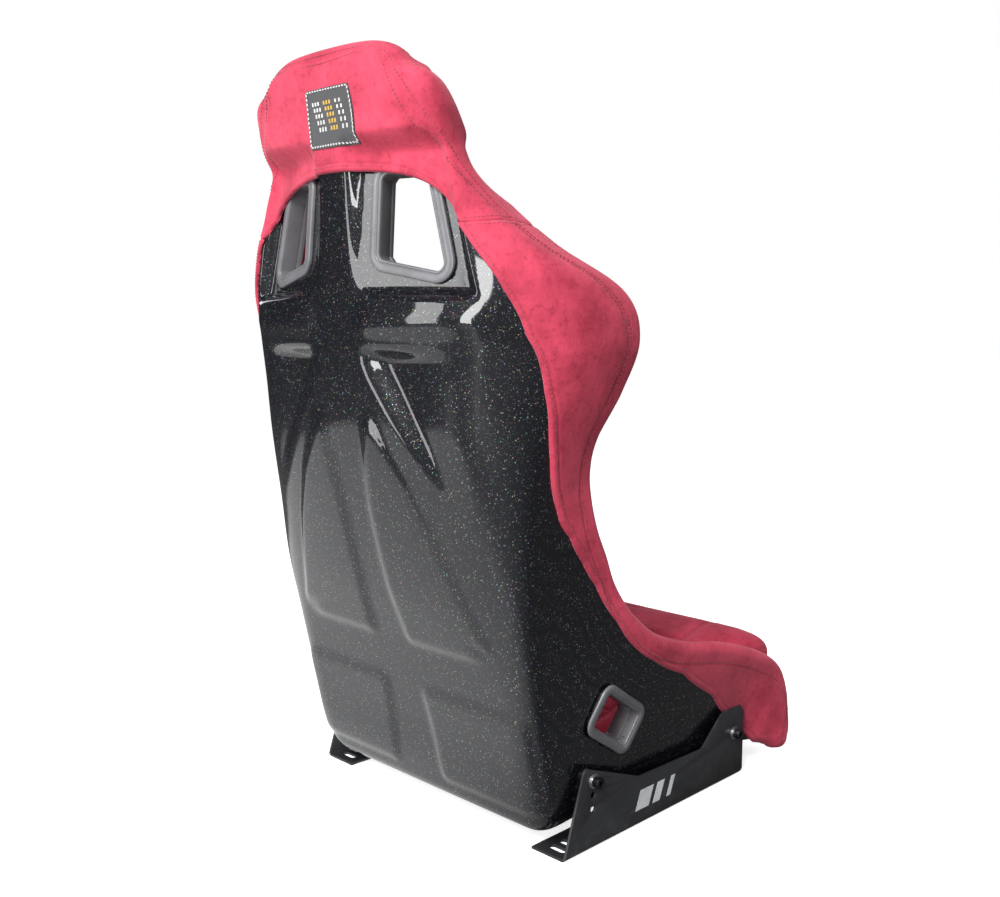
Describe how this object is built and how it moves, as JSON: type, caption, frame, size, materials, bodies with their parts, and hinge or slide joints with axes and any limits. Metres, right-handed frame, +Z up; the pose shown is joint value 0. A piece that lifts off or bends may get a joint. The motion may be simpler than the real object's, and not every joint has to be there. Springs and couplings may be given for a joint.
{
  "type": "racing seat",
  "caption": "Fixed-back bucket racing seat: flaked shell, suede bolsters and headrest, belt openings, removable cushions and side mounting brackets.",
  "frame": {"origin": "centre of the four outer floor slots, on the underside of the bracket flanges", "axes": "+X across the seat to the occupant's left seen from the front, +Y to the rear, +Z up"},
  "size_m": [0.557, 0.6223, 0.9017],
  "materials": {
    "shell_gelcoat": "gloss black gel coat with coloured metal flake",
    "suede": "brushed microfibre suede over foam",
    "strip_tape": "woven hook and loop tape",
    "bezel_plastic": "satin moulded plastic",
    "bracket_paint": "satin black powder coat",
    "black_bolt": "black oxide steel",
    "zinc_steel": "bright zinc plate"
  },
  "bodies": {
    "seat_frame": {"shell": "shell_gelcoat", "head_cover": "suede", "front_cover": "suede", "side_cover_left": "suede", "side_cover_right": "suede", "headrest_pad": "suede", "shoulder_bolster_left": "suede", "shoulder_bolster_right": "suede", "thigh_bolster_left": "suede", "thigh_bolster_right": "suede", "back_hook_strips": "strip_tape", "seat_hook_strips": "strip_tape", "harness_bezel_left": "bezel_plastic", "harness_bezel_right": "bezel_plastic", "harness_liner_left": "bezel_plastic", "harness_liner_right": "bezel_plastic", "lap_bezel_left": "bezel_plastic", "lap_bezel_right": "bezel_plastic", "lap_liner_left": "bezel_plastic", "lap_liner_right": "bezel_plastic", "crotch_bezel": "bezel_plastic", "bezel_screws": "zinc_steel", "bracket_left": "bracket_paint", "bracket_right": "bracket_paint", "mount_bolts": "black_bolt", "mount_washers": "zinc_steel", "spring_washers": "zinc_steel", "mount_spacers": "bracket_paint", "threaded_inserts": "zinc_steel", "insert_plates": "zinc_steel"},
    "seat_pad": {"seat_cushion": "suede", "seat_loop_strips": "strip_tape"},
    "back_pad": {"back_cushion": "suede", "back_loop_strips": "strip_tape"}
  },
  "joints": [
    {"name": "seat_cushion_lift", "type": "slide", "parent": "seat_frame", "child": "seat_pad", "axis": [0, -0.7071, 0.7071], "range_m": [0, 0.26]},
    {"name": "back_cushion_pull", "type": "slide", "parent": "seat_frame", "child": "back_pad", "axis": [0, -0.9781, 0.2079], "range_m": [0, 0.13]}
  ]
}
